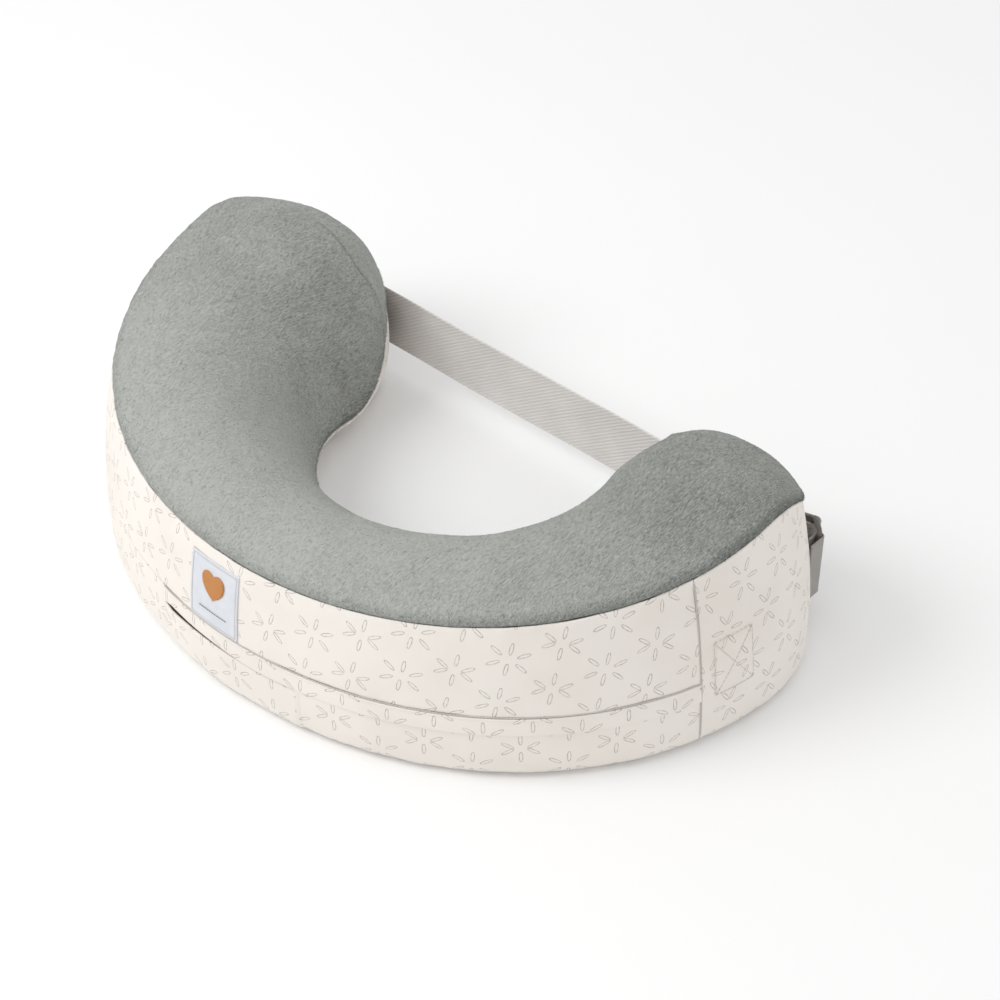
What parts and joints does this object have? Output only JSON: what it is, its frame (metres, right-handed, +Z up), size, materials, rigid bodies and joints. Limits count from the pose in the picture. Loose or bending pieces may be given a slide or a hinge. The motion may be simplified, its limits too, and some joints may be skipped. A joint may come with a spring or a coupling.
{
  "type": "nursing pillow",
  "caption": "C-shaped foam nursing pillow with a plush top, printed cotton walls, concealed zip placket and an adjustable waist strap.",
  "frame": {"origin": "on the floor, at the middle of the pillow's width and depth", "axes": "+X across the wearer, from the pillow's left horn to its right horn; +Y towards the wearer, where the C opens; +Z up"},
  "size_m": [0.607, 0.3694, 0.1745],
  "materials": {
    "plush": "short pile",
    "printed_cotton": "woven, thin printed starbursts",
    "foam": "open-cell foam",
    "webbing": "twill webbing",
    "label_cloth": "satin woven label",
    "zip_cloth": "zip tape",
    "zip_plastic": "nylon coil",
    "slider_metal": "painted zinc",
    "ring_plastic": "moulded acetal",
    "hook_and_loop": "hook and loop tape"
  },
  "bodies": {
    "cushion": {"foam_core": "foam", "plush_top_panel": "plush", "base_panel": "printed_cotton", "front_wall_panel": "printed_cotton", "placket_lip": "printed_cotton", "front_lower_band_left": "printed_cotton", "front_lower_band_right": "printed_cotton", "front_lower_wall": "printed_cotton", "woven_label": "label_cloth", "left_end_panel": "printed_cotton", "right_end_panel": "printed_cotton", "inner_wall_panel": "printed_cotton", "zip_coil_upper": "zip_plastic", "zip_tape_upper": "zip_cloth", "zip_coil_lower": "zip_plastic", "zip_tape_lower": "zip_cloth", "zip_stop_left": "zip_plastic", "zip_stop_right": "zip_plastic", "waist_strap": "webbing", "left_ring_tab": "webbing", "right_ring_tab": "webbing", "left_anchor_webbing": "webbing", "right_anchor_webbing": "webbing", "left_loop_pad": "hook_and_loop", "right_loop_pad": "hook_and_loop"},
    "zip_slider": {"zip_slider": "slider_metal"},
    "left_ring": {"left_strap_ring": "ring_plastic"},
    "right_ring": {"right_strap_ring": "ring_plastic"},
    "left_tail": {"left_strap_tail": "webbing", "left_hook_pad": "hook_and_loop"},
    "right_tail": {"right_strap_tail": "webbing", "right_hook_pad": "hook_and_loop"}
  },
  "joints": [
    {"name": "zip_run", "type": "hinge", "parent": "cushion", "child": "zip_slider", "pos_m": [0, 0.14398, 0.051], "axis": [0, 0, 1], "range_deg": [0, 57]},
    {"name": "left_ring_swivel", "type": "hinge", "parent": "cushion", "child": "left_ring", "pos_m": [-0.268, 0.16818, 0.052], "axis": [0, 0, 1], "range_deg": [-5, 5]},
    {"name": "right_ring_swivel", "type": "hinge", "parent": "cushion", "child": "right_ring", "pos_m": [0.268, 0.16818, 0.052], "axis": [0, 0, 1], "range_deg": [-5, 5]},
    {"name": "left_tail_peel", "type": "hinge", "parent": "cushion", "child": "left_tail", "pos_m": [-0.2358, 0.18, 0.052], "axis": [0, 0, 1], "range_deg": [0, 110]},
    {"name": "right_tail_peel", "type": "hinge", "parent": "cushion", "child": "right_tail", "pos_m": [0.2358, 0.18, 0.052], "axis": [0, 0, 1], "range_deg": [-110, 0]}
  ]
}
